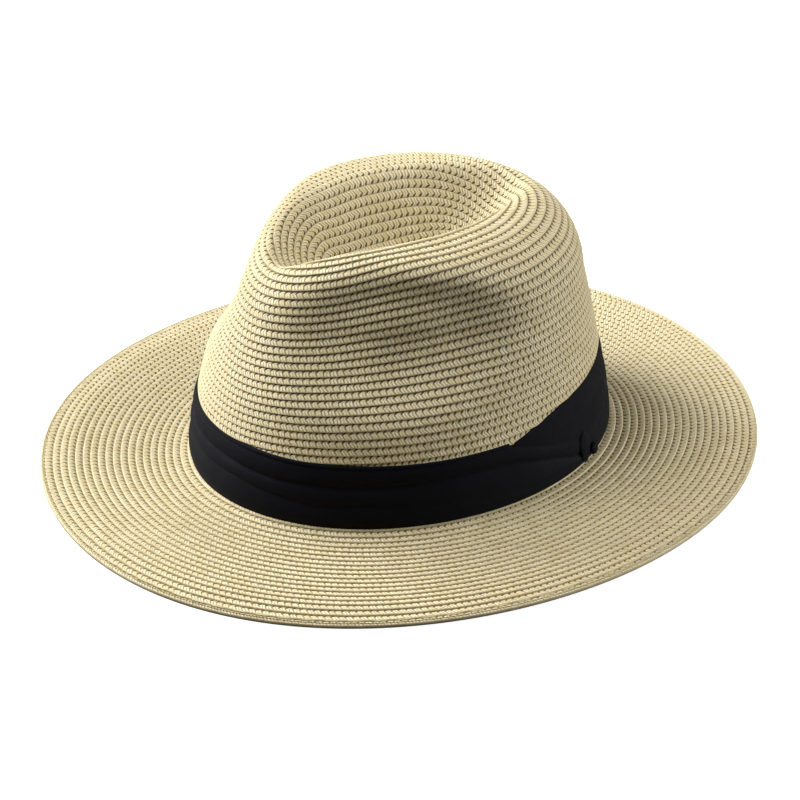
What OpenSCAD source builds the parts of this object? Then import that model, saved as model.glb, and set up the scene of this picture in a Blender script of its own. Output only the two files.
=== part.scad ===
// Pinch-front straw hat: spiral-sewn braid crown and brim, pleated cloth band, inner sweatband.
// The wearer looks along -Y, the wearer's left is +X and +Z is up.

/* [Head] */
// Outside width of the crown where it meets the brim (mm)
crown_width = 170.6; // [160:0.1:182]
// Outside length of the crown where it meets the brim (mm)
crown_length = 201.2; // [192:0.1:216]
// Thickness of the sewn braid (mm)
braid_thickness = 1.6; // [1.2:0.1:2.2]

/* [Brim] */
// Brim width from the crown to the edge at the sides (mm)
brim_width = 69.6; // [50:0.1:90]
// Brim width from the crown to the edge at the front and back (mm)
brim_width_front = 68.2; // [50:0.1:90]
// How far the edge hangs below the head line, on the mean (mm)
edge_drop = 2.2; // [1:0.1:8]
// Height of the three gentle waves of the edge, up and down from the mean (mm)
edge_wave = 1.3; // [0:0.1:2]
// Fall of the brim where it curves out of the crown's foot (mm)
foot_fall = 2.4; // [0:0.1:4]
// Fall of the brim's last few rows towards the edge (mm)
rim_fall = 1.6; // [0:0.1:3]
// Width of the doubled row along the edge (mm)
edge_row_width = 4.6; // [4:0.1:8]
// Thickness of the doubled row along the edge (mm)
edge_row_thickness = 2.2; // [2:0.1:3.6]

/* [Crown] */
// Height of the open crown above the head line, before it is creased (mm)
crown_height = 116; // [105:0.5:130]
// Height of the rounded shoulder (mm)
shoulder_height = 33; // [24:0.5:40]
// Reach of the rounded shoulder towards the middle (mm)
shoulder_reach = 28; // [22:0.5:36]
// Inward lean of the wall below the shoulder (mm)
wall_lean = 11; // [6:0.5:14]
// Extra backward lean of the front wall (mm)
front_lean = 25; // [15:0.5:30]
// Extra forward lean of the back wall (mm)
back_lean = 7; // [0:0.5:10]
// Outward push of the two front corners of the top (mm)
corner_push = 4.5; // [0:0.5:8]

/* [Crease] */
// Height of the floor of the top crease at its front end (mm)
crease_front = 104; // [96:0.5:110]
// Height of the floor of the top crease at its back end (mm)
crease_back = 109; // [100:0.5:114]
// Extra depth of the crease half way along (mm)
crease_sag = 24; // [10:0.5:28]
// Depth of the two front pinches (mm)
pinch_depth = 12.5; // [0:0.5:14]
// Height of the middle of the pinches above the head line (mm)
pinch_height = 86; // [78:0.5:92]

/* [Band] */
// Height of the pleated band round the front (mm)
band_height = 30; // [26:0.5:36]
// Height of the folded cloth at the back (mm)
band_back_height = 40; // [38:0.5:48]
// Thickness of the folded cloth (mm)
band_thickness = 1.3; // [1.2:0.1:2]

/* [Inside] */
// Height of the sweatband (mm)
sweatband_height = 30; // [24:0.5:34]
// Thickness of the sweatband (mm)
sweatband_thickness = 1; // [0.8:0.1:1.4]
// Stitches round the foot of the sweatband
sweatband_stitch_count = 90; // [60:1:110]
// Stitches round the edge row
edge_stitch_count = 100; // [60:1:120]

/* [Hidden] */

steps = 72;                 // vertices round one ring
ra = crown_width / 2;       // half width of the crown at the head line
rb = crown_length / 2;      // half length of the crown at the head line
top_extra = 22;             // the innermost row is this much longer than it is wide
edge_r = brim_width - edge_row_width + 1.2;
// height of the head line, so that the lowest part of the edge row touches z = 0
z_head = edge_drop + edge_wave + edge_row_thickness / 2 + braid_thickness / 2;
wall_top = crown_height - shoulder_height - shoulder_reach / 10;
gap = 0.3;                  // air between cloth and braid

// ---------------------------------------------------------------- shape functions
function clamp01(v) = min(1, max(0, v));
function smooth(e0, e1, v) = let (q = clamp01((v - e0) / (e1 - e0))) q * q * (3 - 2 * q);
function bell(v, w) = exp(-pow(v / w, 2));

// angle away from straight ahead, 0 at the front and 180 at the back
function from_front(t) = let (q = (t + 90) % 360) abs(q > 180 ? q - 360 : q < -180 ? q + 360 : q);

// point on the brim's upper face, u mm outside the crown
function brim_point(u, t, dz = 0) =
    let (q = u / brim_width, rise = foot_fall + rim_fall - edge_drop + edge_wave * cos(3 * t))
    [(ra + u) * cos(t), (rb + q * brim_width_front) * sin(t),
     z_head + dz - foot_fall * (1 - exp(-max(0, u) / 6.5)) + rise * q * q - rim_fall * smooth(0.8, 1, q)];

// open crown: [inset from the wall, height] for s from 0 (head line) to 1 (middle of the top)
function profile(s) =
    s < 0.5 ? let (q = s / 0.5) [wall_lean * pow(q, 1.35), wall_top * q]
    : s < 0.75 ? let (q = (s - 0.5) / 0.25 * 84)
        [wall_lean + shoulder_reach * (1 - cos(q)), wall_top + shoulder_height * sin(q)]
    : let (q = (s - 0.75) / 0.25, i0 = wall_lean + shoulder_reach * (1 - cos(84)),
           z0 = wall_top + shoulder_height * sin(84))
        [i0 + (ra - 1 - i0) * q, z0 + (crown_height - z0) * q * (2 - q)];

function open_crown(s, t) =
    let (p = profile(s), d = ra - p[0], h = p[1] / crown_height, f = clamp01(d / 40),
         push = corner_push * pow(h, 5) * bell(from_front(t) - 63, 24) * f,
         stretch = rb - ra + (top_extra - rb + ra) * p[0] / ra,
         shift = front_lean * pow(h, 1.75) * (1 - sin(t)) / 2 * f - back_lean * h * (1 + sin(t)) / 2 * f
                 - 2 * (1 - f))
    [(d + push) * cos(t), (d + stretch + push) * sin(t) + shift, p[1]];

// height of the crease's floor and sides over the point x, y
function crease(x, y) =
    let (q = (60 - y) / 126, w = 17 - 4 * clamp01(q))
    crease_back + (crease_front - crease_back) * q - crease_sag * 4 * q * (1 - q)
    + 22 * (sqrt(1 + pow(x / w, 2)) - 1) + 150 * pow(max(0, -q), 2);

// rounded lower envelope of two heights
function blend_min(a, b, r) = min(a, b) - r * ln(1 + exp(-abs(a - b) / r));

// finished outer face of the crown
function crown_point(s, t) =
    let (o = open_crown(s, t),
         z = o[2] < 40 ? o[2] : blend_min(o[2], crease(o[0], o[1]), 2),
         dish = pow((from_front(t) - 58) / 37, 2)
                + pow((o[2] - pinch_height) / (o[2] > pinch_height ? 22 : 31), 2),
         g = pinch_depth * exp(-dish * dish) * smooth(30, 60, norm([o[0], o[1]])))
    [o[0] - g * cos(t), o[1] - g * sin(t), z_head + z];

// the same face moved inwards by d along its own normal
function crown_inner(s, t, d) =
    let (a = crown_point(min(1, s + 0.004), t) - crown_point(max(0, s - 0.004), t),
         b = crown_point(s, t + 1) - crown_point(s, t - 1),
         n = cross(b, a))
    crown_point(s, t) - d * n / norm(n);

// point on the crown's wall, z above the head line and d outside its face
function wall_point(z, t, d) =
    let (p = crown_point(0.5 * z / wall_top, t), q = crown_point(0.5 * (z + 1) / wall_top, t),
         n = [cos(t) * rb, sin(t) * ra, 0] / norm([cos(t) * rb, sin(t) * ra]))
    [p[0] + n[0] * d, p[1] + n[1] * d, z_head + z];

// ---------------------------------------------------------------- mesh helpers
// Closed wall between two faces a and b, each a list of columns of points. The columns run round the
// hat and close on themselves when wrap is true. With tip, the last points form a narrow oval that is
// closed by a strip across its width on both faces.
module slab(a, b, wrap = false, tip = false) {
    m = len(a);
    n = len(a[0]);
    back = m * n;
    last = wrap ? m - 1 : m - 2;
    faces = [for (i = [0:last]) for (j = [0:n - 2])
        let (p = i * n + j, q = ((i + 1) % m) * n + j)
        each [[p, q + 1, q], [p, p + 1, q + 1], [back + p, back + q, back + q + 1],
              [back + p, back + q + 1, back + p + 1]]];
    foot = [for (i = [0:last])
        let (p = i * n, q = ((i + 1) % m) * n)
        each [[p, q, back + q], [p, back + q, back + p]]];
    rim = tip ? [] : [for (i = [0:last])
        let (p = i * n + n - 1, q = ((i + 1) % m) * n + n - 1)
        each [[p, back + q, q], [p, back + p, back + q]]];
    ends = wrap ? [] : [for (j = [0:n - 2])
        let (p = j, q = (m - 1) * n + j)
        each [[p, back + p, back + p + 1], [p, back + p + 1, p + 1],
              [q, back + q + 1, back + q], [q, q + 1, back + q + 1]]];
    half = m / 4;
    strip = tip ? [for (j = [-half:half - 1])
        let (at = function (k) ((k + m) % m) * n + n - 1,
             p = at(j), q = at(j + 1), r = at(2 * half - j - 1), s = at(2 * half - j))
        each concat(
            j > -half ? [[p, r, s], [back + p, back + s, back + r]] : [],
            j < half - 1 ? [[p, q, r], [back + p, back + r, back + q]] : [],
            j == -half ? [] : [])] : [];
    polyhedron(concat([for (c = a) each c], [for (c = b) each c]),
               [for (f = concat(faces, foot, rim, ends, strip)) [f[0], f[2], f[1]]], convexity = 8);
}

// closed rod through rings[i], each a convex loop of points
module rod(rings, wrap = false) {
    m = len(rings);
    n = len(rings[0]);
    last = wrap ? m - 1 : m - 2;
    sides = [for (i = [0:last]) for (j = [0:n - 1])
        let (p = i * n + j, q = i * n + (j + 1) % n, r = ((i + 1) % m) * n + (j + 1) % n,
             s = ((i + 1) % m) * n + j)
        each [[p, q, r], [p, r, s]]];
    ends = wrap ? [] : [for (j = [1:n - 2])
        each [[0, j + 1, j], [(m - 1) * n, (m - 1) * n + j, (m - 1) * n + j + 1]]];
    polyhedron([for (r = rings) each r], concat(sides, ends), convexity = 6);
}

// a stitch: a small straight bead of thread from p to q
module bead(p, q, r) {
    v = q - p;
    translate(p)
        rotate([0, acos(v[2] / norm(v)), atan2(v[1], v[0])])
            cylinder(h = norm(v), r = r, $fn = 6);
}

// cloth laid on the crown's wall: columns at the angles ts, rows(t) gives [height, outer distance]
module cloth(ts, rows, lie = gap) {
    slab([for (t = ts) [for (p = rows(t)) wall_point(p[0], t, lie + p[1])]],
         [for (t = ts) [for (p = rows(t)) wall_point(p[0], t, lie)]]);
}

// ---------------------------------------------------------------- sewn braid
// Crown: one wall of spiral-sewn braid with the top crease and the two front pinches pressed in.
module crown_braid() {
    s_of = concat([for (i = [0:9]) i / 20], [for (i = [0:9]) 0.5 + i / 40], [for (i = [0:13]) 0.75 + i / 52]);
    color([0.90, 0.85, 0.70])
        slab([for (j = [0:steps - 1]) [for (s = s_of) crown_point(s, j * 360 / steps)]],
             [for (j = [0:steps - 1]) let (t = j * 360 / steps)
                 [for (s = s_of) s == 0 ? wall_point(0, t, -braid_thickness) : crown_inner(s, t, braid_thickness)]],
             wrap = true, tip = true);
}

// Brim: the same braid carried on outwards; it runs under the foot of the crown.
module brim_braid() {
    u0 = -braid_thickness;
    u_of = concat([u0, 0, 3, 7, 12], [for (i = [1:7]) 12 + (edge_r - 12) * i / 7]);
    color([0.90, 0.85, 0.70])
        slab([for (j = [0:steps - 1]) [for (u = u_of) brim_point(u, j * 360 / steps, -0.02 - braid_thickness)]],
             [for (j = [0:steps - 1]) [for (u = u_of) brim_point(u, j * 360 / steps, -0.02)]],
             wrap = true);
}

// Last turn of braid, folded double over the cut edge of the brim.
module brim_edge_row() {
    w = (brim_width + 1.2 - edge_r) / 2;
    h = edge_row_thickness / 2;
    color([0.88, 0.82, 0.66])
        rod([for (j = [0:steps - 1])
            [for (k = [0:7])
                let (c = cos(k * 45 + 22.5), s = sin(k * 45 + 22.5))
                brim_point(edge_r + 0.05 + w + w * sign(c) * pow(abs(c), 0.5), j * 360 / steps, -braid_thickness / 2)
                + [0, 0, h * sign(s) * pow(abs(s), 0.6)]]],
            wrap = true);
}

// Lock-stitch that holds the edge row, on its upper face.
module brim_edge_stitches() {
    up = edge_row_thickness / 2 - braid_thickness / 2 + 0.3;
    color([0.78, 0.70, 0.50])
        for (i = [0:edge_stitch_count - 1])
            let (t = i * 360 / edge_stitch_count)
            bead(brim_point(edge_r + 2, t, up), brim_point(edge_r + 2, t + 1.9, up), 0.25);
}

// ---------------------------------------------------------------- band
// height of the diagonal edge where the back wrap crosses over the end of the front wrap
function crossing(t) = band_height - 1 - 0.54 * (t - 6);

// Front wrap: pleated cloth from the keeper, round the front and the wearer's right, to the back.
module band_front_wrap() {
    w = band_thickness;
    rows = function (t)
        let (h = t < 4 ? band_height : min(band_height, crossing(t) - 0.4) - 5 * smooth(30, 34.4, t),
             f = smooth(-240, -200, t) * (1 - smooth(-30, 10, t)), g = 1 - 0.5 * smooth(28, 34.4, t))
        [for (p = [[0.03, 0.8], [0.15, 1.3], [0.28, 1.2], [0.33, 1.1 - 0.4 * f], [0.38, 1.2], [0.52, 1.3],
                   [0.58, 1.2 - 0.6 * f], [0.63, 1.35], [0.8, 1.4], [0.96, 1.2]]) [h * p[0], w * p[1] * g]];
    ts = concat([for (i = [0:50]) -216 + 4.4 * i], [for (i = [1:9]) 4 + 30.4 * i / 9]);
    color([0.07, 0.07, 0.09])
        cloth(ts, rows);
}

// Narrow fold standing on the front wrap's upper edge.
module band_top_fold() {
    h = band_height;
    rows = function (t) [[h - 0.9, 1.5], [h, 1.8], [h + 1.2, 1.5], [h + 1.7, 0.8]];
    color([0.09, 0.09, 0.11])
        cloth([for (i = [0:50]) -214 + 4.32 * i], rows);
}

// Back wrap: smoother cloth that rises up the back of the crown and crosses over at the wearer's left.
module band_back_wrap() {
    w = band_thickness;
    rows = function (t)
        let (h = band_height + 1 + (band_back_height - band_height - 1) * smooth(6, 44, t) * (1 - smooth(100, 142, t)),
             low = t < 34.9 ? crossing(max(6, t)) + 1.4 : 1)
        [for (p = [[0, 0.9], [0.3, 1.2], [0.55, 1.05], [0.8, 1.2], [1, 0.8]]) [low + (h - low) * p[0], w * p[1]]];
    color([0.07, 0.07, 0.09])
        cloth(concat([for (i = [0:8]) 6 + 28.8 * i / 8], [for (i = [0:26]) 35.2 + 4.17 * i]), rows);
}

// Rolled end of the front wrap, beside the keeper.
module band_end_roll() {
    color([0.08, 0.08, 0.10])
        rod([for (i = [0:8])
            let (r = 1.7 * sqrt(max(0.15, 1 - pow((i - 4) / 4.3, 2))))
            [for (k = [0:7]) wall_point(3 + 11 * i / 8, 30.5 - r * cos(k * 45), gap + band_thickness * 1.3 + 1.9 + r * sin(k * 45))]]);
}

// Small loop of cloth that gathers the ends of both wraps.
module band_keeper() {
    color([0.06, 0.06, 0.08])
        rod([for (i = [0:6])
            let (r = sqrt(max(0.3, 1 - pow((i - 3) / 3.5, 2))))
            [for (k = [0:7]) wall_point(1.5 + 7 * i / 6, 37.5 - 1.9 * r * cos(k * 45), gap + band_thickness * 1.2 + 1.5 + 1.3 * r * sin(k * 45))]]);
}

// Small hand tacks that hold the cloth to the braid.
module band_tacks() {
    color([0.10, 0.10, 0.12])
        for (t = [-150, -95, -40, 60, 95])
            let (z = t < 0 ? band_height + 2.9 : band_back_height + 1.2)
            bead(wall_point(z, t, 0.35), wall_point(z, t + 2.5, 0.35), 0.28);
}

// ---------------------------------------------------------------- inside
// Cloth sweatband sewn round the foot of the crown, inside.
module sweatband() {
    d = braid_thickness + 0.5 + sweatband_thickness;
    rows = function (t) [for (q = [0, 0.5, 1]) [0.4 + sweatband_height * q, sweatband_thickness]];
    color([0.16, 0.15, 0.15])
        cloth([for (i = [0:steps]) 90.5 + 359 * i / steps], rows, -d);
}

// Cloth tab that covers the sweatband's two ends at the back.
module sweatband_join() {
    rows = function (t) [for (q = [0, 0.5, 1]) [1.5 + (sweatband_height - 3) * q, 0.9]];
    color([0.12, 0.12, 0.13])
        cloth([for (i = [0:6]) 85 + 10 * i / 6], rows, -braid_thickness - 1.7 - sweatband_thickness);
}

// Running stitch near the sweatband's foot.
module sweatband_stitches() {
    d = braid_thickness + 0.85 + sweatband_thickness;
    color([0.75, 0.70, 0.60])
        for (i = [0:sweatband_stitch_count - 1])
            let (t = 97 + i * 346 / sweatband_stitch_count)
            bead(wall_point(2.6, t, -d), wall_point(2.6, t + 1.9, -d), 0.25);
}

// Plain care label of woven tape, caught under the sweatband's foot seam.
module care_label() {
    rows = function (t) [for (q = [0, 0.5, 1]) [5 + 19 * q, 0.4]];
    color([0.93, 0.93, 0.91])
        cloth([for (i = [0:6]) 100 + 12 * i / 6], rows, -braid_thickness - 1.3 - sweatband_thickness);
}

crown_braid();
brim_braid();
brim_edge_row();
brim_edge_stitches();
band_front_wrap();
band_top_fold();
band_back_wrap();
band_end_roll();
band_keeper();
band_tacks();
sweatband();
sweatband_join();
sweatband_stitches();
care_label();
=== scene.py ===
import math
import bpy
import numpy as np
from mathutils import Matrix, Vector


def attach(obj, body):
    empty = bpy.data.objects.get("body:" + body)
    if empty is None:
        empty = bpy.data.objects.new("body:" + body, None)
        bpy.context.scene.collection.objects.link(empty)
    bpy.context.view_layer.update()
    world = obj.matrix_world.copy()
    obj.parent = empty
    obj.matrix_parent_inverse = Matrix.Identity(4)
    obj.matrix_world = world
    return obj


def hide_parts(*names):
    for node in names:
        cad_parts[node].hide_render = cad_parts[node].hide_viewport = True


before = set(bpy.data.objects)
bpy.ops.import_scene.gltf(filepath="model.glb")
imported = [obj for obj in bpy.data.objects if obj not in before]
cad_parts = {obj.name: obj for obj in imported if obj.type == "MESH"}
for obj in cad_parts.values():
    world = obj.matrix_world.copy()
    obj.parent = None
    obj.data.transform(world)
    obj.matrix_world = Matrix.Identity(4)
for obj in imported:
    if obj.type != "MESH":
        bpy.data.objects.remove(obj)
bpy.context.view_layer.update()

MM = 0.001
TAU = 2 * math.pi

# ------------------------------------------------------------------ sizes, in mm as in the CAD
RA, RB = 85.3, 100.6            # half width and half length of the crown at the head line
BRAID = 1.6                     # thickness of the sewn braid
BRIM, BRIM_FRONT = 69.6, 68.2   # brim width at the sides, and at the front and back
EDGE_DROP, EDGE_WAVE = 2.2, 1.3  # edge below the head line, and its three gentle waves
FOOT_FALL, RIM_FALL = 2.4, 1.6  # fall of the brim out of the crown's foot, and of its last rows
EDGE_W, EDGE_T = 4.6, 2.2       # doubled edge row: width and thickness
EDGE_OVER = 1.2                 # how far the edge row stands out past the brim
EDGE_INSET, EDGE_LAP = 1.8, 3.6  # where the drawn edge roll begins, and how far the rows run out over it
EDGE_R = BRIM - EDGE_W + EDGE_OVER
HEIGHT, SHOULDER_H, SHOULDER_R = 116.0, 33.0, 28.0  # crown, and the height and roundness of its shoulder
LEAN, FRONT_LEAN, BACK_LEAN = 11.0, 25.0, 7.0       # lean of the wall all round, at the front, at the back
CORNER, CORNER_TURN = 4.5, 63   # push of the front corners, and degrees round from the front
CREASE_FRONT, CREASE_BACK, CREASE_SAG = 104.0, 109.0, 24.0  # crease floor at its ends, and its sag
PINCH, PINCH_Z, PINCH_TURN = 12.5, 86.0, 58         # finger pinches: depth, height, degrees from the front
TIP = 22.0                      # the innermost row is this much longer than it is wide
Z_HEAD = EDGE_DROP + EDGE_WAVE + EDGE_T / 2 + BRAID / 2
WALL_TOP = HEIGHT - SHOULDER_H - SHOULDER_R / 10
WALL_S, SHOULDER_S = 0.5, 0.75  # way up the crown at the top of the wall, and at the shoulder's end
PITCH = 3.5                     # from one sewn row of the brim to the next
SIDE_PITCH, FRONT_CLOSER, TOP_WIDER = 3.8, 0.6, 0.45  # the same on the crown, and how it changes
REPEAT = 3.0                    # length of one plait of the braid
BAND_H, BAND_BACK_H = 30.0, 40.0
FRONT_FROM, FRONT_TO = -216, 34.6  # the front wrap's ends, in degrees from the wearer's left
BACK_FROM, BACK_TO = 5.5, 146      # the back wrap's ends
GAP = 0.15                      # air between the band and the crown
THREAD_PITCH = 0.42             # from one thread of the band's cloth to the next
TRIANGLES = 190000              # most triangles of straw in one object



# ------------------------------------------------------------------ shape
def smooth(e0, e1, v):
    q = np.clip((v - e0) / (e1 - e0), 0, 1)
    return q * q * (3 - 2 * q)


def bell(v, w):
    """1 at v = 0, fading out over a width w to each side."""
    return np.exp(-(v / w) ** 2)


def from_front(t):
    """Degrees round the hat from its front, the same to both sides."""
    return np.degrees(np.abs((t + math.pi / 2 + math.pi) % TAU - math.pi))


def brim_face(u, t):
    """Upper face of the brim, u mm outside the crown."""
    q = u / BRIM
    rise = FOOT_FALL + RIM_FALL - EDGE_DROP + EDGE_WAVE * np.cos(3 * t)
    foot = FOOT_FALL * (1 - np.exp(-np.maximum(0, u) / 6.5))
    z = Z_HEAD - foot + rise * q * q - RIM_FALL * smooth(0.8, 1, q)
    return np.stack(np.broadcast_arrays((RA + u) * np.cos(t), (RB + q * BRIM_FRONT) * np.sin(t), z), -1)


def profile(s):
    """Inset and height of the open crown, s from 0 at the head line to 1 in the middle of the top."""
    q = np.clip(s / WALL_S, 0, 1)
    a = np.radians(np.clip((s - WALL_S) / (SHOULDER_S - WALL_S), 0, 1) * 84)
    r = np.clip((s - SHOULDER_S) / (1 - SHOULDER_S), 0, 1)
    i1 = LEAN * q ** 1.35 + SHOULDER_R * (1 - np.cos(a))
    z1 = WALL_TOP * q + SHOULDER_H * np.sin(a)
    return i1 + (RA - 0.2 - i1) * r, z1 + (HEIGHT - z1) * r * (2 - r)


def crease(x, y):
    """Height of the crease that cuts the crown's top: a trough along y, narrower at the front."""
    q = (60 - y) / 126
    w = 17 - 4 * np.clip(q, 0, 1)
    floor = CREASE_BACK + (CREASE_FRONT - CREASE_BACK) * q - CREASE_SAG * 4 * q * (1 - q)
    return floor + 22 * (np.sqrt(1 + (x / w) ** 2) - 1) + 150 * np.maximum(0, -q) ** 2


def crown_face(s, t):
    """Outer face of the crown, creased and pinched."""
    s, t = np.broadcast_arrays(s, t)
    inset, z = profile(s)
    d = RA - inset
    h = z / HEIGHT
    f = np.clip(d / 40, 0, 1)
    push = CORNER * h ** 5 * bell(from_front(t) - CORNER_TURN, 24) * f
    stretch = RB - RA + (TIP - RB + RA) * inset / RA
    at_front = FRONT_LEAN * h ** 1.75 * (1 - np.sin(t)) / 2 * f
    at_back = BACK_LEAN * h * (1 + np.sin(t)) / 2 * f
    shift = at_front - at_back - 2 * (1 - f)
    x = (d + push) * np.cos(t)
    y = (d + stretch + push) * np.sin(t) + shift
    c = crease(x, y)
    low = np.minimum(z, c) - 2 * np.log1p(np.exp(-np.abs(z - c) / 2))
    top = np.where(z < 40, z, low)
    up = (z - PINCH_Z) / np.where(z > PINCH_Z, 22, 31)
    dish = ((from_front(t) - PINCH_TURN) / 37) ** 2 + up ** 2
    g = PINCH * np.exp(-dish ** 2) * smooth(30, 60, np.hypot(x, y))
    return np.stack([x - g * np.cos(t), y - g * np.sin(t), Z_HEAD + top], -1)


def normals(face, c, t, dc, dt):
    """Outward unit normals of a face by central differences."""
    a = face(c + dc, t) - face(c - dc, t)
    b = face(c, t + dt) - face(c, t - dt)
    n = np.cross(b, a)
    return n / np.maximum(np.linalg.norm(n, axis=-1, keepdims=True), 1e-9)


def row_table():
    """Rows are counted along the finished face. The braid is pressed a little closer together at the
    front and at the foot than at the sides and the top, and its turns meet in the middle of the top.
    Gives the number of rows, and s for each tenth of a row and each degree round the hat."""
    s = np.linspace(0, 1, 801)
    t = np.radians(np.arange(361))
    length = np.linalg.norm(np.diff(crown_face(s[:, None], t[None, :]), axis=0), axis=-1)
    so_far = np.cumsum(length, axis=0)
    pitch = SIDE_PITCH - FRONT_CLOSER * bell(from_front(t), 40)[None, :] + TOP_WIDER * smooth(65, 90, so_far)
    row = np.concatenate([0 * t[None, :], np.cumsum(length / pitch, axis=0)])
    rim = np.searchsorted(s, 0.76)
    total = row[-1].mean()
    inside = (row[rim:] - row[rim]) / (row[-1] - row[rim])
    row[rim:] = row[rim] + (total - row[rim]) * inside
    k = np.arange(0, total + 0.1, 0.1)
    return total, np.stack([np.interp(k, row[:, j], s) for j in range(len(t))], 1)


CROWN_ROWS, S_TABLE = row_table()
BRIM_ROWS = (EDGE_R + EDGE_LAP) / PITCH


def crown_rows(k, t):
    """Crown face with k counted in rows, inwards and upwards from the head line."""
    a = np.clip(k * 10, 0, S_TABLE.shape[0] - 1.001)
    b = np.degrees(t) % 360
    i, j = a.astype(int), b.astype(int)
    a, b = a - i, b - j
    s = (S_TABLE[i, j] * (1 - b) + S_TABLE[i, j + 1] * b) * (1 - a)
    s = s + (S_TABLE[i + 1, j] * (1 - b) + S_TABLE[i + 1, j + 1] * b) * a
    return crown_face(s, t)


def brim_rows(k, t):
    """Brim face with k counted inwards from the edge, so that rows overlap as they do on the crown."""
    return brim_face((BRIM_ROWS - k) * PITCH, t)


def wall(z, t, d):
    """A point z mm above the head line and d mm outside the crown's wall."""
    z, t, d = np.broadcast_arrays(np.asarray(z, float), t, d)
    p = crown_face(WALL_S * z / WALL_TOP, t)
    n = np.stack([np.cos(t) * RB, np.sin(t) * RA, 0 * t], -1)
    n = n / np.linalg.norm(n, axis=-1, keepdims=True)
    q = p + n * d[..., None]
    q[..., 2] = Z_HEAD + z
    return q


def band_top(t):
    """Height of the band's upper edge, t in degrees from the wearer's left."""
    rise = np.interp(t, [BACK_FROM, 11, 18, 30, 44, 60], [0, 0.22, 0.52, 0.8, 0.94, 1])
    return BAND_H + (BAND_BACK_H - BAND_H) * rise * (1 - smooth(100, 142, t))


def pressed(p, t):
    """The tight band flattens the braid rows that lie under it."""
    top = band_top((np.degrees(t) - FRONT_FROM) % 360 + FRONT_FROM)
    return 0.25 + 0.75 * smooth(top - 3, top - 1, p[..., 2] - Z_HEAD)


# ------------------------------------------------------------------ meshes
def mesh(name, points, faces, uv, material):
    """One object from points in mm, quads and a UV pair per point."""
    me = bpy.data.meshes.new(name)
    faces = np.asarray(faces, np.int32)
    points = np.asarray(points, np.float32) * MM
    me.vertices.add(len(points))
    me.vertices.foreach_set("co", points.ravel())
    me.loops.add(faces.size)
    me.loops.foreach_set("vertex_index", faces.ravel())
    me.polygons.add(len(faces))
    me.polygons.foreach_set("loop_start", np.arange(0, faces.size, 4, dtype=np.int32))
    me.update(calc_edges=True)
    me.validate()
    layer = me.uv_layers.new(name="weave")
    layer.data.foreach_set("uv", np.asarray(uv, np.float32)[faces.ravel()].ravel())
    me.polygons.foreach_set("use_smooth", np.full(len(faces), True))
    me.materials.append(material)
    ob = bpy.data.objects.new(name, me)
    bpy.context.scene.collection.objects.link(ob)
    return ob


def grid_faces(m, n, start=0, flip=False):
    """Quads between the points of an m by n grid."""
    i, j = np.meshgrid(np.arange(m - 1), np.arange(n - 1), indexing="ij")
    a = (i * n + j).ravel() + start
    f = np.stack([a, a + n, a + n + 1, a + 1], 1)
    return f[:, ::-1] if flip else f


# One turn of braid seen across: how far from the outer edge, in rows, and how high, in mm.
OUTSIDE = [(-0.03, -0.6), (-0.05, 0.1), (-0.03, 0.5), (0.05, 0.7), (0.2, 0.68), (0.45, 0.5), (0.75, 0.2),
           (1.0, -0.15), (1.15, -0.4)]
INSIDE = [(0.0, -0.15), (0.12, 0.12), (0.5, 0.2), (0.88, 0.12), (1.0, -0.15)]


def braid(name, face, first, last, turns, columns, section, material, depth=0.0, flip=False):
    """Spiral turns of sewn braid on a face, from row `first` to row `last` of `turns`."""
    dc = 0.02
    tau = np.linspace(0, 1, columns + 1)
    t = math.pi / 2 + tau * TAU
    e = np.array([p[0] for p in section])
    h = np.array([p[1] for p in section])
    pts, uvs, faces = [], [], []
    start = 0
    along = 0.0
    for i in range(first, last):
        k = np.clip(i + tau[:, None] + e[None, :], 0, turns)
        tt = np.broadcast_to(t[:, None], k.shape)
        p = face(k, tt)
        n = normals(face, np.clip(k, dc, turns - dc), tt, dc, 0.01)
        high = h * pressed(p, tt) if face is crown_rows and not flip else h + 0 * k
        p = p + n * (depth + (-high if flip else high))[..., None]
        mid = face(np.clip(i + tau + 0.5, 0, turns), t)
        run = np.concatenate([[0], np.cumsum(np.linalg.norm(np.diff(mid, axis=0), axis=-1))]) + along
        along = run[-1]
        uv = np.stack([np.broadcast_to((run / REPEAT)[:, None], k.shape),
                       np.broadcast_to(np.clip(1 - e, 0.01, 0.99)[None, :], k.shape)], -1)
        f = grid_faces(columns + 1, len(section), start, flip)
        kk = k.ravel()
        g = f - start
        alive = (kk[g].max(1) - kk[g].min(1)) > 1e-4
        pts.append(p.reshape(-1, 3))
        uvs.append(uv.reshape(-1, 2))
        faces.append(f[alive])
        start += k.size
    return mesh(name, np.concatenate(pts), np.concatenate(faces), np.concatenate(uvs), material)


def slab(name, outer, inner, uv, material):
    """Closed cloth between an outer and an inner grid of points."""
    m, n = outer.shape[:2]
    pts = np.concatenate([outer.reshape(-1, 3), inner.reshape(-1, 3)])
    back = m * n
    faces = [grid_faces(m, n), grid_faces(m, n, back, True)]
    i = np.arange(m - 1)
    for j, turn in ((0, False), (n - 1, True)):
        a = i * n + j
        f = np.stack([a, a + back, a + n + back, a + n], 1)
        faces.append(f[:, ::-1] if turn else f)
    j = np.arange(n - 1)
    for i, turn in ((0, True), (m - 1, False)):
        a = i * n + j
        f = np.stack([a, a + back, a + 1 + back, a + 1], 1)
        faces.append(f[:, ::-1] if turn else f)
    uv = uv.reshape(-1, 2)
    return mesh(name, pts, np.concatenate(faces), np.concatenate([uv, uv]), material)


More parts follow.
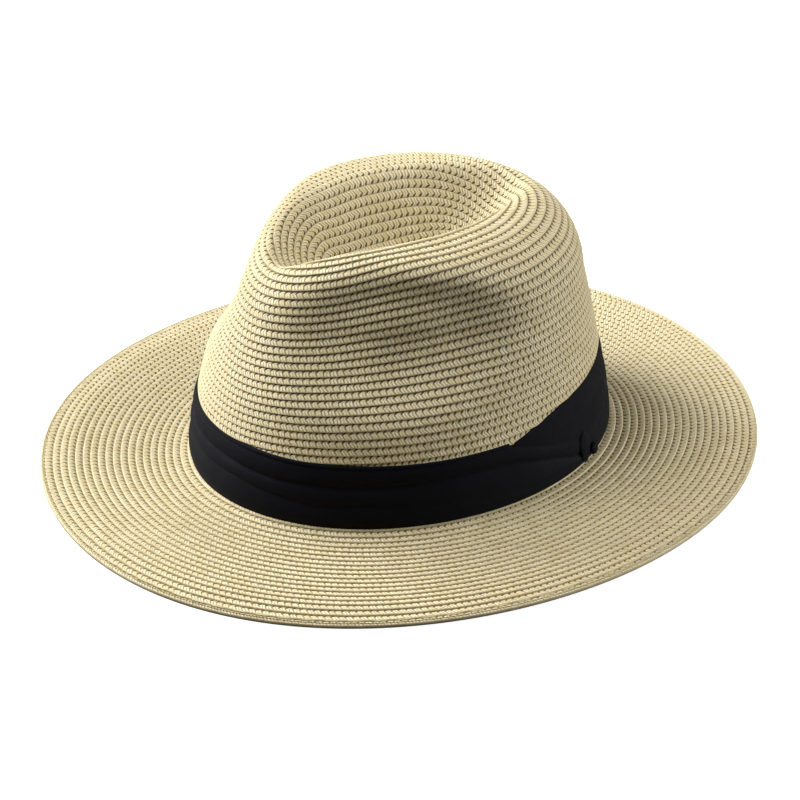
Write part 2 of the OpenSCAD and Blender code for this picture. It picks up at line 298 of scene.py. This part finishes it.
# ------------------------------------------------------------------ materials
class Nodes:
    """Small helper that builds a node tree out of arithmetic."""

    def __init__(self, name):
        self.mat = bpy.data.materials.new(name)
        self.mat.use_nodes = True
        self.tree = self.mat.node_tree
        self.bsdf = self.tree.nodes["Principled BSDF"]

    def put(self, socket, value):
        if isinstance(value, bpy.types.NodeSocket):
            self.tree.links.new(value, socket)
        else:
            socket.default_value = value

    def math(self, op, a, b=0.0, clamp=False):
        n = self.tree.nodes.new("ShaderNodeMath")
        n.operation = op
        n.use_clamp = clamp
        for s, v in zip(n.inputs, (a, b)):
            self.put(s, v)
        return n.outputs[0]

    def add(self, a, b):
        return self.math("ADD", a, b)

    def sub(self, a, b):
        return self.math("SUBTRACT", a, b)

    def mul(self, a, b):
        return self.math("MULTIPLY", a, b)

    def fract(self, a):
        return self.math("FRACT", a)

    def floor(self, a):
        return self.math("FLOOR", a)

    def hump(self, a):
        """0 at whole numbers, 1 half way between them."""
        v = self.math("ABSOLUTE", self.sub(self.mul(self.fract(a), 2.0), 1.0))
        return self.sub(1.0, self.mul(v, v))

    def ramp(self, v, lo, hi, to_lo=0.0, to_hi=1.0):
        n = self.tree.nodes.new("ShaderNodeMapRange")
        n.interpolation_type = "SMOOTHSTEP"
        for s, x in zip(n.inputs, (v, lo, hi, to_lo, to_hi)):
            self.put(s, x)
        return n.outputs[0]

    def uv(self):
        n = self.tree.nodes.new("ShaderNodeUVMap")
        n.uv_map = "weave"
        s = self.tree.nodes.new("ShaderNodeSeparateXYZ")
        self.put(s.inputs[0], n.outputs[0])
        return s.outputs[0], s.outputs[1]

    def join(self, x, y, z=0.0):
        n = self.tree.nodes.new("ShaderNodeCombineXYZ")
        for s, v in zip(n.inputs, (x, y, z)):
            self.put(s, v)
        return n.outputs[0]

    def noise(self, vector, scale, detail=2.0, rough=0.5):
        n = self.tree.nodes.new("ShaderNodeTexNoise")
        self.put(n.inputs["Vector"], vector)
        n.inputs["Scale"].default_value = scale
        n.inputs["Detail"].default_value = detail
        n.inputs["Roughness"].default_value = rough
        return n.outputs[0]

    def white(self, vector):
        n = self.tree.nodes.new("ShaderNodeTexWhiteNoise")
        n.noise_dimensions = "3D"
        self.put(n.inputs["Vector"], vector)
        return n.outputs["Value"]

    def place(self):
        return self.tree.nodes.new("ShaderNodeTexCoord").outputs["Object"]

    def mix(self, f, a, b):
        n = self.tree.nodes.new("ShaderNodeMix")
        n.data_type = "RGBA"
        self.put(n.inputs[0], f)
        self.put(n.inputs[6], a)
        self.put(n.inputs[7], b)
        return n.outputs[2]

    def bump(self, height, distance, strength=1.0):
        n = self.tree.nodes.new("ShaderNodeBump")
        n.inputs["Strength"].default_value = strength
        n.inputs["Distance"].default_value = distance
        self.put(n.inputs["Height"], height)
        self.put(self.bsdf.inputs["Normal"], n.outputs[0])

    def surface(self, **values):
        for k, v in values.items():
            self.put(self.bsdf.inputs[k.replace("_", " ")], v)
        return self.mat


def rgb(r, g, b):
    return (r, g, b, 1.0)


def shade(colour, k):
    return rgb(*[c * k for c in colour[:3]])


def straw(name, light, shade_colour):
    """Plaited paper straw. Each plait is a puffed lobe; the grooves between lobes bend in a V as
    they cross the row and open into a small hole, and a smooth cord runs along the edge."""
    n = Nodes(name)
    u, v = n.uv()
    f = n.fract(v)
    row = n.floor(v)
    warp = n.noise(n.join(n.mul(u, 0.6), n.mul(v, 1.7)), 1.0, 1.0)
    u = n.add(u, n.mul(warp, 0.45))
    bend = n.mul(n.math("ABSOLUTE", n.sub(f, 0.42)), 0.85)
    a = n.sub(u, bend)
    side_b = n.math("ABSOLUTE", n.sub(n.fract(a), 0.5))
    side_a = n.sub(0.5, side_b)
    plait = n.white(n.join(n.floor(a), row, 3.0))
    groove = n.math("SUBTRACT", 1.0, n.math("DIVIDE", side_a, n.sub(0.3, n.mul(f, 0.14))), clamp=True)
    fine = n.math("SUBTRACT", 1.0, n.math("DIVIDE", side_b, 0.19), clamp=True)
    fine = n.mul(fine, n.ramp(plait, 0.1, 0.9, 0.45, 0.95))
    deep = n.math("POWER", n.math("DIVIDE", n.sub(f, 0.24), 0.2), 2.0)
    wide = n.math("POWER", n.math("DIVIDE", side_a, 0.24), 2.0)
    hole = n.math("SUBTRACT", 1.3, n.add(deep, wide), clamp=True)
    strands = n.hump(n.mul(a, 4.0))
    cord = n.ramp(f, 0.9, 0.94)
    top = n.ramp(f, 0.04, 0.26)
    lobe = n.add(n.mul(n.math("POWER", n.mul(side_a, 2.0), 0.5), 0.75), n.mul(strands, 0.25))
    body = n.mul(lobe, n.sub(1.0, n.mul(fine, 0.7)))
    height = n.add(n.mul(n.mul(body, n.sub(1.0, n.mul(hole, 0.8))), n.sub(1.0, cord)), n.mul(cord, 0.7))
    patch = n.noise(n.place(), 26.0, 3.0)
    fibre = n.noise(n.join(n.mul(a, 22.0), n.mul(f, 5.0), row), 1.0, 2.0)
    tone = n.add(n.add(n.mul(plait, 0.4), n.mul(patch, 0.3)), n.mul(fibre, 0.3))
    worn = rgb(*[c * k for c, k in zip(light, (0.82, 0.79, 0.71))])
    pale = n.mix(n.ramp(tone, 0.25, 0.75), worn, light)
    # Painted shade: the colour darkens in the grooves between the lobes, in the holes, along the fine line
    # in each plait (of random strength) and at the top of each row, where the row above laps it.
    painted_shade = n.mul(n.sub(1.0, n.mul(groove, n.ramp(f, 0.2, 0.9, 0.9, 0.7))), n.sub(1.0, n.mul(hole, 0.9)))
    painted_shade = n.mul(painted_shade, n.mul(n.sub(1.0, n.mul(fine, 0.65)), n.add(n.mul(top, 0.68), 0.32)))
    # The cord along the outer edge is painted a fixed share towards the dark colour: painted shade.
    painted_shade_and_cord = n.add(n.mul(painted_shade, n.sub(1.0, cord)), n.mul(cord, 0.62))
    n.bump(n.add(height, n.mul(fibre, 0.12)), 0.0007, 1.0)
    return n.surface(Base_Color=n.mix(painted_shade_and_cord, shade_colour, pale), Roughness=n.ramp(tone, 0.2, 0.8, 0.66, 0.52),
                     Specular_IOR_Level=0.3)


def cloth(name, colour, lift, roughness, sheen):
    """Plain-weave cloth with fine threads."""
    n = Nodes(name)
    u, v = n.uv()
    a = n.hump(u)
    b = n.hump(v)
    odd = n.mul(n.fract(n.mul(n.add(n.floor(u), n.floor(v)), 0.5)), 2.0)
    odd = n.ramp(odd, 0.4, 0.6)
    weave = n.add(n.mul(a, odd), n.mul(b, n.sub(1.0, odd)))
    patch = n.noise(n.place(), 60.0, 4.0, 0.6)
    # Painted shade: through the weave term each thread is darker towards its edges, where the threads meet;
    # the noise patches are random tone.
    tone = n.add(n.mul(weave, 0.5), n.mul(patch, 0.5))
    n.bump(n.add(n.mul(weave, 0.7), n.mul(patch, 0.6)), 0.00012, 0.6)
    mat = n.surface(Base_Color=n.mix(n.ramp(tone, 0.2, 0.8), shade(colour, 0.7), shade(colour, lift)),
                    Roughness=n.ramp(patch, 0.3, 0.7, roughness - 0.06, roughness + 0.04),
                    Specular_IOR_Level=0.07, Sheen_Weight=sheen, Sheen_Roughness=0.4)
    mat.node_tree.nodes["Principled BSDF"].inputs["Sheen Tint"].default_value = (0.75, 0.78, 0.9, 1)
    return mat


def thread(name, colour):
    n = Nodes(name)
    fine = n.noise(n.place(), 900.0, 2.0)
    n.bump(fine, 0.0001, 0.5)
    return n.surface(Base_Color=n.mix(fine, shade(colour, 0.7), colour), Roughness=0.7)


# Each straw's second colour is the painted shade in its grooves, holes, fine lines and row tops.
STRAW = straw("straw", rgb(0.86, 0.755, 0.485), rgb(0.075, 0.048, 0.010))
STRAW_IN = straw("straw_inside", rgb(0.78, 0.68, 0.43), rgb(0.10, 0.065, 0.018))
BAND = cloth("band_cloth", rgb(0.0018, 0.0019, 0.0036), 1.6, 0.75, 0.01)
LINING = cloth("sweatband_cloth", rgb(0.03, 0.03, 0.034), 1.4, 0.8, 0.2)
TAPE = cloth("label_tape", rgb(0.78, 0.78, 0.76), 1.05, 0.5, 0.1)
THREAD = thread("straw_thread", rgb(0.70, 0.60, 0.38))
DARK_THREAD = thread("band_thread", rgb(0.012, 0.012, 0.015))
PALE_THREAD = thread("sweatband_thread", rgb(0.55, 0.5, 0.38))

# ------------------------------------------------------------------ sewn braid
DENSE = 5                                   # columns for each plait at the crown's foot
COLUMNS = int(TAU * (RA + RB) / 2 / REPEAT * DENSE)
pieces = []


def sew(part, face, rows, columns, lap, back, back_lap, back_columns):
    """Both faces of the crown or the brim: outer turns, some to each object, and the back of them."""
    turns = int(math.ceil(rows))
    step = max(1, int(TRIANGLES / (columns * 2 * (len(OUTSIDE) - 1))))
    for i in range(-1, turns, step):
        name = "%s_rows_%02d" % (part, i + 1)
        ob = braid(name, face, i, min(i + step, turns), rows + lap, columns, OUTSIDE, STRAW)
        pieces.append((ob, part + "_braid", "straw_braid"))
    ob = braid(back, face, -1, turns, rows + back_lap, back_columns, INSIDE, STRAW_IN, -BRAID, True)
    pieces.append((ob, part + "_braid", "straw_braid"))


def edge_row():
    """The last, doubled row: one rounded roll along the edge."""
    t = np.linspace(0, TAU, 1501)
    loop = np.linspace(0, TAU, 21)
    half = (BRIM + EDGE_OVER - EDGE_R - EDGE_INSET) / 2
    cu = EDGE_R + EDGE_INSET + half + half * np.sign(np.cos(loop)) * np.abs(np.cos(loop)) ** 0.55
    cz = EDGE_T / 2 * np.sign(np.sin(loop)) * np.abs(np.sin(loop)) ** 0.7
    p = brim_face(cu[None, :], t[:, None])
    p[..., 2] += cz[None, :] - BRAID / 2
    mid = brim_face(np.full_like(t, BRIM), t)
    run = np.concatenate([[0], np.cumsum(np.linalg.norm(np.diff(mid, axis=0), axis=-1))]) / REPEAT
    across = (cu - cu.min()) / (cu.max() - cu.min())
    uv = np.stack(np.broadcast_arrays(run[:, None], (0.06 + 0.93 * across)[None, :]), -1)
    return mesh("brim_edge", p.reshape(-1, 3), grid_faces(len(t), len(loop)), uv.reshape(-1, 2), STRAW)


sew("crown", crown_rows, CROWN_ROWS, COLUMNS, 0.0, "crown_inside", 0.0, 420)
sew("brim", brim_rows, BRIM_ROWS, int(COLUMNS * 1.3), 0.3, "brim_under", 0.4, 700)
pieces.append((edge_row(), "brim_edge_row", "straw_edge"))


# ------------------------------------------------------------------ band
def deg(v):
    return np.radians(v)


def crossing(t):
    """Height of the diagonal edge where the back wrap crosses the end of the front wrap; t in degrees."""
    return BAND_H - 1 - 0.54 * (t - 6)


def wave(t, z, seed):
    """Soft irregular wrinkles, from -1 to 1."""
    rng = np.random.default_rng(seed)
    out = 0
    for _ in range(7):
        a, b, c = rng.uniform(0.02, 0.16), rng.uniform(-0.5, 0.5), rng.uniform(0, TAU)
        out = out + np.sin(a * t + b * z + c) * rng.uniform(0.5, 1)
    return out / 5


def puff(z, z0, z1, power=2.2):
    """Swell of the cloth between two lines, 0 on them and 1 half way."""
    w = np.clip((z - z0) / np.maximum(z1 - z0, 0.1), 0, 1)
    return 1 - np.abs(2 * w - 1) ** power


def laid(name, t, z, out):
    """Closed band cloth on the crown's wall, `out` mm thick."""
    tt = deg(t) + 0 * z
    uv = np.stack([(RA + RB) / 2 * tt / THREAD_PITCH, z / THREAD_PITCH + 0 * tt], -1)
    return slab(name, wall(z, tt, GAP + out), wall(z, tt, GAP + 0 * out), uv, BAND)


def front_wrap():
    """Front strip with two pleat lines, c1 and c2 mm above the head line."""
    t = np.linspace(FRONT_FROM, FRONT_TO, 1100)[:, None]
    w = np.linspace(0, 1, 90)[None, :]
    top = np.where(t < 4, BAND_H, np.minimum(BAND_H, crossing(t) - 0.4)) - 5 * smooth(30, FRONT_TO, t)
    low = 0.6 + 2.2 * smooth(31, FRONT_TO, t)
    z = low + (top - low) * w
    c1 = np.interp(t, [FRONT_FROM, -120, -85, -62, -36, -11, 6, 20, 27, FRONT_TO],
                   [20, 21, 21.6, 19.8, 20.2, 22.2, 19.8, 12.8, 7.8, 5])
    c2 = np.interp(t, [FRONT_FROM, -120, -76, -50, -36, -5, 10, FRONT_TO],
                   [12, 13, 14.8, 10.4, 12.2, 9, 5, 3])
    d1 = 1 - 0.5 * smooth(14, 30, t)
    d2 = smooth(-235, -215, t) * (1 - 0.75 * smooth(-48, -20, t))
    upper = puff(z, c1, top)
    lower = puff(z, low, c1)
    split = puff(z, low, c2) * (z < c2) + puff(z, c2, c1) * (z >= c2)
    body = np.where(z >= c1, upper, lower * (1 - d2) + split * d2)
    crease_1 = bell(z - c1, 0.9) * d1
    out = 0.3 + 1.2 * body * (1 - 0.7 * crease_1) + 0.35 * wave(t, z, 4) * body
    end = 1 - 0.75 * smooth(31, FRONT_TO, t)
    return laid("band_front", t, z, np.maximum(out, 0.35) * end)


def top_fold():
    """Narrow folded roll along the front strip's upper edge."""
    first, last = FRONT_FROM + 2, 5
    t = np.linspace(first, last, 900)[:, None]
    w = np.linspace(0, 1, 14)[None, :]
    z = BAND_H - 1.2 + 1.8 * w
    out = 0.35 + 0.6 * np.sqrt(np.maximum(0, 1 - (2 * w - 1) ** 2)) + 0.15 * wave(t * 2, z, 8)
    fade = smooth(first, first + 6, t) * (1 - smooth(0, last, t))
    return laid("band_fold", t, z, 0.2 + out * (0.3 + 0.7 * fade))


def back_wrap():
    """Back strip, which crosses the end of the front strip on a slant."""
    t = np.concatenate([np.linspace(BACK_FROM, 34.7, 160), np.linspace(35.1, BACK_TO, 440)])[:, None]
    w = np.linspace(0, 1, 80)[None, :]
    high = band_top(t)
    low = np.where(t < 34.9, np.maximum(crossing(np.maximum(6, t)) - 3, 0.8), 0.8)
    z = low + (high - low) * w
    out = 0.45 + 0.7 * puff(z, low - 1, high + 1, 4) * (0.3 + 0.7 * smooth(5, 16, t))
    fold = bell(z - (12 + 0.10 * (t - 40)), 2.2) + 0.8 * bell(z - (27 + 0.06 * (t - 40)), 2.6)
    out = out - 0.55 * fold * smooth(34, 44, t) + 0.3 * wave(t, z, 11)
    return laid("band_back", t, z, np.maximum(out, 0.4))


def knob(name, z0, z1, t0, r_t, r_d, d0, power):
    """Small rolled lump of cloth standing on the wall."""
    a = np.linspace(0, TAU, 33)[None, :]
    w = np.linspace(-1, 1, 24)[:, None]
    r = np.maximum(0.02, 1 - np.abs(w) ** power) ** 0.5
    z = (z0 + z1) / 2 + (z1 - z0) / 2 * w + 0 * a
    t = t0 - r_t * r * np.cos(a) * (1 + 0.1 * np.sin(5 * w))
    d = d0 + r_d * r * np.sin(a)
    p = wall(z, deg(t), d)
    uv = np.stack([a * 4 + 0 * w, w * 10 + 0 * a], -1)
    faces = grid_faces(p.shape[0], p.shape[1], 0, True)
    return mesh(name, p.reshape(-1, 3), faces, uv.reshape(-1, 2), BAND)


band_pieces = [
    (front_wrap(), "band_front_wrap"),
    (top_fold(), "band_top_fold"),
    (back_wrap(), "band_back_wrap"),
    (knob("band_roll", 1.0, 17.0, 32.4, 2.6, 1.1, GAP + 1.3, 2.2), "band_end_roll"),
    (knob("band_loop", 1.6, 7.4, 37.0, 1.9, 1.3, GAP + 1.9, 2.6), "band_keeper"),
]
for ob, node in band_pieces:
    pieces.append((ob, node, "band_cloth"))


# ------------------------------------------------------------------ inside
def lining(name, turn, rise, depth, thick, columns, material, bulge, thread_pitch):
    """Closed strip inside the crown, `depth` mm in from its outer face."""
    t = np.linspace(*turn, columns)[:, None]
    w = np.linspace(0, 1, 24)[None, :]
    z = rise[0] + (rise[1] - rise[0]) * w
    hem = bell(w - 0.06, 0.03) + bell(w - 0.93, 0.03)
    d = -depth - thick - bulge * (np.sin(math.pi * w) + 0.25 * wave(t, z, 21)) + 0.25 * hem
    tt = deg(t) + 0 * z
    uv = np.stack([(RA + RB) / 2 * tt / thread_pitch, z / thread_pitch + 0 * tt], -1)
    return slab(name, wall(z, tt, -depth + 0 * d), wall(z, tt, d), uv, material)


sweatband = lining("sweatband_inside", turn=(90.5, 449.5), rise=(0.5, 30.4), depth=BRAID + 0.5, thick=0.8,
                   columns=700, material=LINING, bulge=0.5, thread_pitch=0.5)
tab = lining("sweatband_tab", turn=(85, 95), rise=(1.6, 28.5), depth=BRAID + 2.1, thick=0.6,
             columns=40, material=LINING, bulge=0.15, thread_pitch=0.4)
label = lining("label", turn=(100, 112), rise=(5, 24), depth=BRAID + 2.1, thick=0.35,
               columns=40, material=TAPE, bulge=0.1, thread_pitch=0.35)
pieces.append((sweatband, "sweatband", "sweatband_cloth"))
pieces.append((tab, "sweatband_join", "sweatband_cloth"))
pieces.append((label, "care_label", "label_tape"))

for ob, node, slot in pieces:
    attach(ob, "root")
    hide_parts(node)

sewn = (("brim_edge_stitches", THREAD), ("band_tacks", DARK_THREAD), ("sweatband_stitches", PALE_THREAD))
for node, material in sewn:
    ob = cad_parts[node]
    ob.data.materials.clear()
    ob.data.materials.append(material)


# ------------------------------------------------------------------ studio
def stage_material(name, colour, glow):
    """Glowing paper of one grey, with a faint grain."""
    n = Nodes(name)
    grain = n.noise(n.place(), 40.0, 2.0)
    pale = n.mix(grain, rgb(colour * 0.98, colour * 0.98, colour * 0.98), rgb(colour, colour, colour))
    return n.surface(Base_Color=pale, Roughness=0.95, Emission_Color=rgb(1, 1, 1), Emission_Strength=glow)


bpy.ops.mesh.primitive_plane_add(size=14, location=(0, 0, 0))
floor = bpy.context.object
floor.name = "floor"
floor.data.materials.append(stage_material("floor", 0.5, 0.97))
bpy.ops.mesh.primitive_uv_sphere_add(segments=48, ring_count=24, radius=6.5, location=(0, 0, 0))
backdrop = bpy.context.object
backdrop.name = "backdrop"
backdrop.data.materials.append(stage_material("backdrop", 0.1, 1.0))
for ob in (floor, backdrop):
    ob.visible_diffuse = False      # white paper that is seen, but whose glow doesn't wash out the straw
    ob.visible_glossy = False
backdrop.visible_shadow = False

AZ, EL, ROLL = math.radians(60), math.radians(29.1), math.radians(-0.86)
FOCAL, AIM_RIGHT, AIM_UP = 3.5375, 0.000375, 0.0615  # in widths of the picture, the aim from its middle
DISTANCE = 1.3
SENSOR = 36
SIDE = Vector((math.cos(AZ), math.sin(AZ), 0))


def add_camera():
    """Camera whose picture has a point inside the crown a little above its middle."""
    back = Vector((math.sin(AZ) * math.cos(EL), -math.cos(AZ) * math.cos(EL), math.sin(EL)))
    up = back.cross(SIDE)
    right = SIDE * math.cos(ROLL) + up * math.sin(ROLL)
    up = back.cross(right)
    place = Vector((0, 0, (Z_HEAD + 40) * MM)) + back * DISTANCE
    tilt = math.atan(AIM_UP / FOCAL)
    turn = math.atan(AIM_RIGHT / FOCAL)
    look = (back * math.cos(tilt) + up * math.sin(tilt)) * math.cos(turn) + right * math.sin(turn)
    up = (up - look * up.dot(look)).normalized()
    right = up.cross(look)
    data = bpy.data.cameras.new("camera")
    data.sensor_width = SENSOR
    data.lens = FOCAL * SENSOR
    data.clip_end = 50
    ob = bpy.data.objects.new("camera", data)
    ob.matrix_world = Matrix(((right.x, up.x, look.x, place.x), (right.y, up.y, look.y, place.y),
                              (right.z, up.z, look.z, place.z), (0, 0, 0, 1)))
    bpy.context.scene.collection.objects.link(ob)
    bpy.context.scene.camera = ob


def round_camera(turn, height):
    """Direction of a lamp: degrees to the right of the camera, and degrees above the floor."""
    a, e = math.radians(turn), math.radians(height)
    away = Vector((-math.sin(AZ), math.cos(AZ), 0))
    return (SIDE * math.sin(a) - away * math.cos(a)) * math.cos(e) + Vector((0, 0, 1)) * math.sin(e)


def lamp(name, turn, height, power):
    """Round soft lamp that shines on the hat."""
    data = bpy.data.lights.new(name, "AREA")
    data.shape = "DISK"
    data.size = LAMP_SIZE
    data.energy = power * POWER
    ob = bpy.data.objects.new(name, data)
    d = round_camera(turn, height).normalized()
    ob.location = Vector((0, 0, 0.05)) + d * LAMP_DISTANCE
    ob.rotation_euler = d.to_track_quat("Z", "Y").to_euler()
    bpy.context.scene.collection.objects.link(ob)


POWER = 1.25
LAMP_DISTANCE, LAMP_SIZE = 1.8, 1.1

add_camera()
lamp("key_low", -118, 22, 49)
lamp("key_high", -85, 65, 25)
lamp("rim_right", 98, 13, 27)
lamp("fill_front", 30, 40, 2.8)
lamp("fill_back", 180, 50, 1.5)

world = bpy.data.worlds.new("world")
world.use_nodes = True
world.node_tree.nodes["Background"].inputs[0].default_value = (1, 1, 1, 1)
world.node_tree.nodes["Background"].inputs[1].default_value = 0.05
bpy.context.scene.world = world
bpy.context.scene.view_settings.view_transform = "Standard"

bpy.context.view_layer.update()
